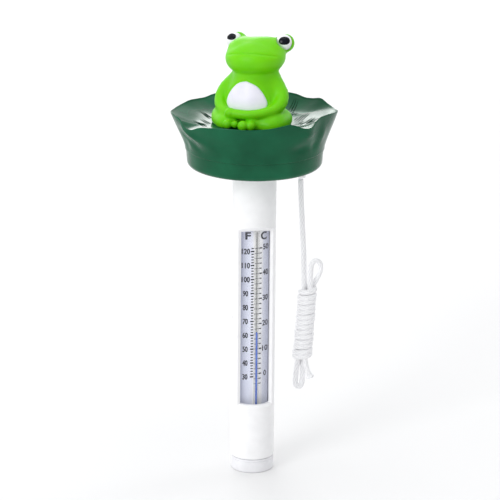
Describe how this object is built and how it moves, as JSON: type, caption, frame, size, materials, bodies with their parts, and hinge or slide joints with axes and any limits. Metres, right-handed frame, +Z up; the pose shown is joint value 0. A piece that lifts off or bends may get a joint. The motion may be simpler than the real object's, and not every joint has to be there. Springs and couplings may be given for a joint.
{
  "type": "floating pool thermometer",
  "caption": "Floating pool thermometer with a frog figure on a leaf float, a white windowed tube with a blue spirit column, an end cap and a tether cord wound into a hank.",
  "frame": {"origin": "centre of the end cap's flat underside, where the thermometer stands", "axes": "+Z up the tube towards the figure, -Y out of the window, +X to the right of the window"},
  "size_m": [0.0953, 0.0848, 0.2571],
  "materials": {
    "white_shell": "semi-gloss moulded ABS",
    "leaf_green": "glossy dark green moulding",
    "frog_green": "satin lime green vinyl",
    "figure_white": "satin white paint on vinyl, black pupils",
    "clear_jacket": "clear, smooth",
    "stem_glass": "clear, smooth",
    "spirit": "dyed spirit",
    "card": null,
    "seal_rubber": "matte",
    "steel": "plain zinc-plated",
    "cord": "white braided cord"
  },
  "bodies": {
    "tube": {"tube_body": "white_shell", "ballast_slug": "steel", "lower_cushion": "seal_rubber", "stem_seal": "seal_rubber", "retaining_ring": "steel", "tube_plug": "white_shell", "glass_jacket": "clear_jacket", "jacket_stopper": "seal_rubber", "upper_cushion": "seal_rubber", "scale_card": "card", "capillary_stem": "stem_glass", "spirit_bulb": "spirit", "spirit_column": "spirit"},
    "cap": {"end_cap": "white_shell", "cap_seal": "seal_rubber"},
    "meniscus": {"spirit_meniscus": "spirit"},
    "float": {"float_base": "leaf_green", "base_gasket": "seal_rubber", "leaf_float": "leaf_green", "base_screws": "steel", "frog_figure": "frog_green", "belly_patch": "figure_white", "eye_left": "figure_white", "eye_right": "figure_white", "figure_plug": "white_shell", "figure_screws": "steel", "tether_knot": "cord", "tether_cord": "cord", "tether_ear": "cord", "tether_tail": "cord", "tether_hank": "cord", "tether_fold": "cord", "tether_tip": "cord"}
  },
  "joints": [
    {"name": "column_rise", "type": "slide", "parent": "tube", "child": "meniscus", "axis": [0, 0, 1], "range_m": [-0.0268, 0.047], "deforming": ["spirit_column"]},
    {"name": "float_turn", "type": "hinge", "parent": "tube", "child": "float", "pos_m": [0, 0, 0.188], "axis": [0, 0, 1], "continuous": true},
    {"name": "cap_pull", "type": "slide", "parent": "tube", "child": "cap", "axis": [0, 0, -1], "range_m": [0, 0.009]}
  ]
}
